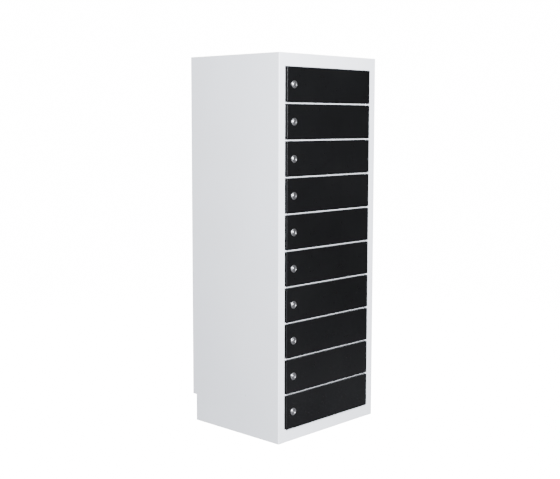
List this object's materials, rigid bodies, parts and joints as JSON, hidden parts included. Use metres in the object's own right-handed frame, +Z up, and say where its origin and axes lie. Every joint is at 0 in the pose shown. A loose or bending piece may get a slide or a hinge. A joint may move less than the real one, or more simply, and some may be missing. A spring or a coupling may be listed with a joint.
{
  "type": "phone charging kiosk",
  "caption": "Tall sheet-steel phone charging locker: one column of small hinged doors with cam locks, and a USB outlet inside each compartment.",
  "frame": {"origin": "on the floor, at the centre of the footprint", "axes": "+Z up, +X to the right seen from the front, +Y towards the rear; the doors face -Y"},
  "size_m": [0.384, 0.3376, 1],
  "materials": {
    "white_powder_coat": "satin off-white powder coat with fine orange peel",
    "black_powder_coat": "satin black powder coat with fine orange peel",
    "chrome": "bright chrome plate",
    "zinc_plated_steel": "dull zinc plate",
    "black_plastic": "moulded, lightly textured",
    "cable_sheath": "soft PVC cable sheath",
    "case_aluminium": "mill finish perforated case"
  },
  "bodies": {
    "cabinet": {"side_panel_left": "white_powder_coat", "side_panel_right": "white_powder_coat", "top_panel": "white_powder_coat", "base_panel": "white_powder_coat", "back_panel": "white_powder_coat", "partition_panel": "white_powder_coat", "hinge_rod": "zinc_plated_steel", "power_supply": "case_aluminium", "mains_inlet": "black_plastic", "mains_lead": "cable_sheath", "wiring_loom": "cable_sheath", "shelf_01": "white_powder_coat", "shelf_02": "white_powder_coat", "shelf_03": "white_powder_coat", "shelf_04": "white_powder_coat", "shelf_05": "white_powder_coat", "shelf_06": "white_powder_coat", "shelf_07": "white_powder_coat", "shelf_08": "white_powder_coat", "shelf_09": "white_powder_coat", "usb_socket_01": "black_plastic", "usb_socket_02": "black_plastic", "usb_socket_03": "black_plastic", "usb_socket_04": "black_plastic", "usb_socket_05": "black_plastic", "usb_socket_06": "black_plastic", "usb_socket_07": "black_plastic", "usb_socket_08": "black_plastic", "usb_socket_09": "black_plastic", "usb_socket_10": "black_plastic"},
    "door_01": {"door_01": "black_powder_coat", "lock_body_01": "chrome"},
    "lock_01": {"lock_plug_01": "chrome"},
    "door_02": {"door_02": "black_powder_coat", "lock_body_02": "chrome"},
    "lock_02": {"lock_plug_02": "chrome"},
    "door_03": {"door_03": "black_powder_coat", "lock_body_03": "chrome"},
    "lock_03": {"lock_plug_03": "chrome"},
    "door_04": {"door_04": "black_powder_coat", "lock_body_04": "chrome"},
    "lock_04": {"lock_plug_04": "chrome"},
    "door_05": {"door_05": "black_powder_coat", "lock_body_05": "chrome"},
    "lock_05": {"lock_plug_05": "chrome"},
    "door_06": {"door_06": "black_powder_coat", "lock_body_06": "chrome"},
    "lock_06": {"lock_plug_06": "chrome"},
    "door_07": {"door_07": "black_powder_coat", "lock_body_07": "chrome"},
    "lock_07": {"lock_plug_07": "chrome"},
    "door_08": {"door_08": "black_powder_coat", "lock_body_08": "chrome"},
    "lock_08": {"lock_plug_08": "chrome"},
    "door_09": {"door_09": "black_powder_coat", "lock_body_09": "chrome"},
    "lock_09": {"lock_plug_09": "chrome"},
    "door_10": {"door_10": "black_powder_coat", "lock_body_10": "chrome"},
    "lock_10": {"lock_plug_10": "chrome"}
  },
  "joints": [
    {"name": "door_01_hinge", "type": "hinge", "parent": "cabinet", "child": "door_01", "pos_m": [0.153, -0.15965, 0.9212], "axis": [0, 0, 1], "range_deg": [0, 110]},
    {"name": "lock_01_turn", "type": "hinge", "parent": "door_01", "child": "lock_01", "pos_m": [-0.142, -0.15625, 0.9212], "axis": [0, 1, 0], "range_deg": [0, 90]},
    {"name": "door_02_hinge", "type": "hinge", "parent": "cabinet", "child": "door_02", "pos_m": [0.153, -0.15965, 0.8276], "axis": [0, 0, 1], "range_deg": [0, 110]},
    {"name": "lock_02_turn", "type": "hinge", "parent": "door_02", "child": "lock_02", "pos_m": [-0.142, -0.15625, 0.8276], "axis": [0, 1, 0], "range_deg": [0, 90]},
    {"name": "door_03_hinge", "type": "hinge", "parent": "cabinet", "child": "door_03", "pos_m": [0.153, -0.15965, 0.734], "axis": [0, 0, 1], "range_deg": [0, 110]},
    {"name": "lock_03_turn", "type": "hinge", "parent": "door_03", "child": "lock_03", "pos_m": [-0.142, -0.15625, 0.734], "axis": [0, 1, 0], "range_deg": [0, 90]},
    {"name": "door_04_hinge", "type": "hinge", "parent": "cabinet", "child": "door_04", "pos_m": [0.153, -0.15965, 0.6404], "axis": [0, 0, 1], "range_deg": [0, 110]},
    {"name": "lock_04_turn", "type": "hinge", "parent": "door_04", "child": "lock_04", "pos_m": [-0.142, -0.15625, 0.6404], "axis": [0, 1, 0], "range_deg": [0, 90]},
    {"name": "door_05_hinge", "type": "hinge", "parent": "cabinet", "child": "door_05", "pos_m": [0.153, -0.15965, 0.5468], "axis": [0, 0, 1], "range_deg": [0, 110]},
    {"name": "lock_05_turn", "type": "hinge", "parent": "door_05", "child": "lock_05", "pos_m": [-0.142, -0.15625, 0.5468], "axis": [0, 1, 0], "range_deg": [0, 90]},
    {"name": "door_06_hinge", "type": "hinge", "parent": "cabinet", "child": "door_06", "pos_m": [0.153, -0.15965, 0.4532], "axis": [0, 0, 1], "range_deg": [0, 110]},
    {"name": "lock_06_turn", "type": "hinge", "parent": "door_06", "child": "lock_06", "pos_m": [-0.142, -0.15625, 0.4532], "axis": [0, 1, 0], "range_deg": [0, 90]},
    {"name": "door_07_hinge", "type": "hinge", "parent": "cabinet", "child": "door_07", "pos_m": [0.153, -0.15965, 0.3596], "axis": [0, 0, 1], "range_deg": [0, 110]},
    {"name": "lock_07_turn", "type": "hinge", "parent": "door_07", "child": "lock_07", "pos_m": [-0.142, -0.15625, 0.3596], "axis": [0, 1, 0], "range_deg": [0, 90]},
    {"name": "door_08_hinge", "type": "hinge", "parent": "cabinet", "child": "door_08", "pos_m": [0.153, -0.15965, 0.266], "axis": [0, 0, 1], "range_deg": [0, 110]},
    {"name": "lock_08_turn", "type": "hinge", "parent": "door_08", "child": "lock_08", "pos_m": [-0.142, -0.15625, 0.266], "axis": [0, 1, 0], "range_deg": [0, 90]},
    {"name": "door_09_hinge", "type": "hinge", "parent": "cabinet", "child": "door_09", "pos_m": [0.153, -0.15965, 0.1724], "axis": [0, 0, 1], "range_deg": [0, 110]},
    {"name": "lock_09_turn", "type": "hinge", "parent": "door_09", "child": "lock_09", "pos_m": [-0.142, -0.15625, 0.1724], "axis": [0, 1, 0], "range_deg": [0, 90]},
    {"name": "door_10_hinge", "type": "hinge", "parent": "cabinet", "child": "door_10", "pos_m": [0.153, -0.15965, 0.0788], "axis": [0, 0, 1], "range_deg": [0, 110]},
    {"name": "lock_10_turn", "type": "hinge", "parent": "door_10", "child": "lock_10", "pos_m": [-0.142, -0.15625, 0.0788], "axis": [0, 1, 0], "range_deg": [0, 90]}
  ]
}
